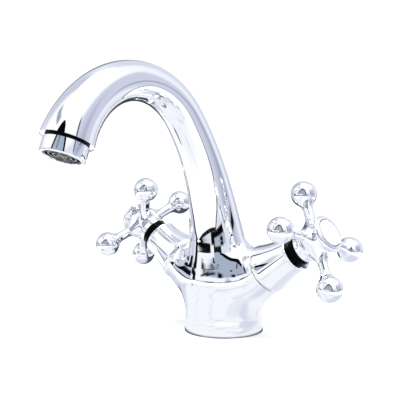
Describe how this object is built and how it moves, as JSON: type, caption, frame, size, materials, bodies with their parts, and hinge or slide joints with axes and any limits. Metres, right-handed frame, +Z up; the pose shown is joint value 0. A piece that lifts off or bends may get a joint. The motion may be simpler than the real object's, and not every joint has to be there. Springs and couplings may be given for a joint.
{
  "type": "basin mixer tap",
  "caption": "One-hole basin mixer tap in polished chrome: arched spout with aerator, inclined arms with bell covers, and cross handles with balls on quarter-turn valves.",
  "frame": {"origin": "centre of the foot, on the basin top that it stands on", "axes": "+Z up, -Y towards the user, the way the spout points, +X to the cold side, the user's right"},
  "size_m": [0.1819, 0.1849, 0.1665],
  "materials": {
    "chrome": "polished",
    "button_white": "gloss",
    "gland_plastic": "gloss",
    "washer_plastic": "matte",
    "valve_brass": "satin",
    "fixed_disc": "satin",
    "turning_disc": "satin",
    "gasket_rubber": "matte",
    "grille_steel": "satin",
    "insert_steel": "satin"
  },
  "bodies": {
    "tap_body": {"body_casting": "chrome", "spout_casting": "chrome", "base_gasket": "gasket_rubber", "aerator_washer": "gasket_rubber", "aerator_housing": "chrome", "aerator_insert": "insert_steel", "aerator_grille": "grille_steel", "hot_headwork_body": "valve_brass", "hot_flange_seal": "gasket_rubber", "hot_seat_seal": "gasket_rubber", "hot_lower_disc": "fixed_disc", "hot_thrust_washer": "washer_plastic", "hot_bell_cover": "chrome", "hot_gland_ring": "gland_plastic", "cold_headwork_body": "valve_brass", "cold_flange_seal": "gasket_rubber", "cold_seat_seal": "gasket_rubber", "cold_lower_disc": "fixed_disc", "cold_thrust_washer": "washer_plastic", "cold_bell_cover": "chrome", "cold_gland_ring": "gland_plastic"},
    "hot_control": {"hot_handle": "chrome", "hot_handle_screw": "insert_steel", "hot_index_button": "button_white", "hot_spindle": "valve_brass", "hot_spindle_seals": "gasket_rubber", "hot_spindle_clip": "insert_steel", "hot_upper_disc": "turning_disc"},
    "cold_control": {"cold_handle": "chrome", "cold_handle_screw": "insert_steel", "cold_index_button": "button_white", "cold_spindle": "valve_brass", "cold_spindle_seals": "gasket_rubber", "cold_spindle_clip": "insert_steel", "cold_upper_disc": "turning_disc"}
  },
  "joints": [
    {"name": "hot_handle_turn", "type": "hinge", "parent": "tap_body", "child": "hot_control", "pos_m": [0, 0, 0.0222], "axis": [-0.8572, 0, 0.515], "range_deg": [0, 90]},
    {"name": "cold_handle_turn", "type": "hinge", "parent": "tap_body", "child": "cold_control", "pos_m": [0, 0, 0.0222], "axis": [-0.8572, 0, -0.515], "range_deg": [0, 90]}
  ]
}
